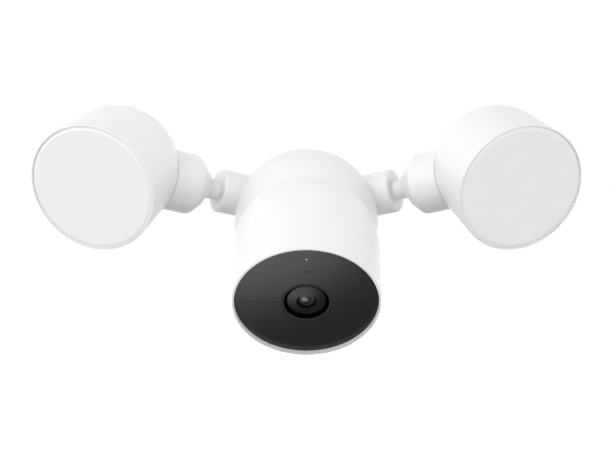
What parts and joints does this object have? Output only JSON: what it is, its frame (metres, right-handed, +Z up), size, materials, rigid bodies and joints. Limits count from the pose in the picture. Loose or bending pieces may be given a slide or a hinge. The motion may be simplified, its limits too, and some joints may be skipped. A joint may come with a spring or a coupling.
{
  "type": "floodlight security camera",
  "caption": "Wall-mounted security camera on a domed base, with two swivelling bullet-shaped floodlight heads on short arms and a tilting bullet-shaped camera head below.",
  "frame": {"origin": "centre of the wall plate's back face, on the wall plane", "axes": "+X right seen from the front, +Z up, the light stands out of the wall towards -Y"},
  "size_m": [0.3314, 0.1948, 0.1482],
  "materials": {
    "white_casting": "satin, fine moulded texture",
    "steel": "zinc plated",
    "green_brass": "green, for the earth wire",
    "black_rubber": "matte",
    "face_black": "gloss",
    "bezel_black": "satin",
    "lens_glass": "coated",
    "frosted": "frosted",
    "board_green": "solder mask",
    "part_black": "moulded",
    "sink_aluminium": "extruded",
    "led_white": "white mask with phosphor",
    "reflector_white": "gloss",
    "clear_pipe": "clear",
    "emitter_clear": "clear",
    "button_grey": "moulded"
  },
  "bodies": {
    "base": {"base_housing": "white_casting", "wall_plate": "steel", "wall_gasket": "black_rubber", "entry_bushing": "black_rubber", "housing_screws": "steel", "ground_screw": "green_brass", "board_posts": "steel", "driver_board": "board_green", "driver_parts": "part_black", "terminal_block": "button_grey", "right_arm_seal": "black_rubber", "left_arm_seal": "black_rubber"},
    "camera_neck": {"camera_neck": "white_casting", "camera_neck_nut": "steel"},
    "camera": {"camera_shell": "white_casting", "camera_cover": "face_black", "cover_seal": "black_rubber", "lens_bezel": "bezel_black", "lens_window": "lens_glass", "lens_barrel": "part_black", "lens_element": "lens_glass", "sensor_board": "board_green", "camera_chassis": "sink_aluminium", "tilt_pin": "steel", "main_board": "board_green", "main_chips": "part_black", "infrared_board": "board_green", "infrared_emitters": "emitter_clear", "status_light": "clear_pipe", "microphone": "steel", "speaker": "part_black", "reset_switch": "part_black"},
    "reset_button": {"reset_button": "button_grey"},
    "right_arm": {"right_arm_neck": "white_casting", "right_arm_washer": "steel", "right_arm_nut": "steel"},
    "right_collar": {"right_knuckle_fork": "white_casting", "right_knuckle_screw": "steel", "right_lamp_collar": "white_casting"},
    "right_lamp": {"right_lamp_housing": "white_casting", "right_lamp_clip": "steel", "right_heat_sink": "sink_aluminium", "right_led_board": "led_white", "right_reflector": "reflector_white", "right_lamp_gasket": "black_rubber", "right_lamp_diffuser": "frosted"},
    "left_arm": {"left_arm_neck": "white_casting", "left_arm_washer": "steel", "left_arm_nut": "steel"},
    "left_collar": {"left_knuckle_fork": "white_casting", "left_knuckle_screw": "steel", "left_lamp_collar": "white_casting"},
    "left_lamp": {"left_lamp_housing": "white_casting", "left_lamp_clip": "steel", "left_heat_sink": "sink_aluminium", "left_led_board": "led_white", "left_reflector": "reflector_white", "left_lamp_gasket": "black_rubber", "left_lamp_diffuser": "frosted"}
  },
  "joints": [
    {"name": "right_arm_swivel", "type": "hinge", "parent": "base", "child": "right_arm", "pos_m": [0.06841, -0.04375, 0.02188], "axis": [0.8919, -0.414, 0.1822], "range_deg": [-90, 90]},
    {"name": "right_knuckle", "type": "hinge", "parent": "right_arm", "child": "right_collar", "pos_m": [0.06841, -0.04375, 0.02188], "axis": [0.1653, -0.0767, -0.9833], "range_deg": [-25, 35]},
    {"name": "right_lamp_roll", "type": "hinge", "parent": "right_collar", "child": "right_lamp", "pos_m": [0.06841, -0.04375, 0.02188], "axis": [0.8246, -0.5362, 0.1805], "range_deg": [-120, 120]},
    {"name": "left_arm_swivel", "type": "hinge", "parent": "base", "child": "left_arm", "pos_m": [-0.06841, -0.04375, 0.02188], "axis": [0.8919, 0.414, -0.1822], "range_deg": [-90, 90]},
    {"name": "left_knuckle", "type": "hinge", "parent": "left_arm", "child": "left_collar", "pos_m": [-0.06841, -0.04375, 0.02188], "axis": [0.1653, 0.0767, 0.9833], "range_deg": [-25, 35]},
    {"name": "left_lamp_roll", "type": "hinge", "parent": "left_collar", "child": "left_lamp", "pos_m": [-0.06841, -0.04375, 0.02188], "axis": [0.8246, 0.5362, -0.1805], "range_deg": [-120, 120]},
    {"name": "camera_swivel", "type": "hinge", "parent": "base", "child": "camera_neck", "pos_m": [0, -0.046, 0], "axis": [0, -0.9812, -0.1929], "range_deg": [-90, 90]},
    {"name": "camera_tilt", "type": "hinge", "parent": "camera_neck", "child": "camera", "pos_m": [0, -0.1345, -0.0174], "axis": [-1, 0, 0], "range_deg": [-25, 30]},
    {"name": "reset_button_press", "type": "slide", "parent": "camera", "child": "reset_button", "axis": [0, -0.6646, 0.7472], "range_m": [0, 0.0008], "stiffness_N_per_m": 300, "springref_m": -0.0008}
  ]
}
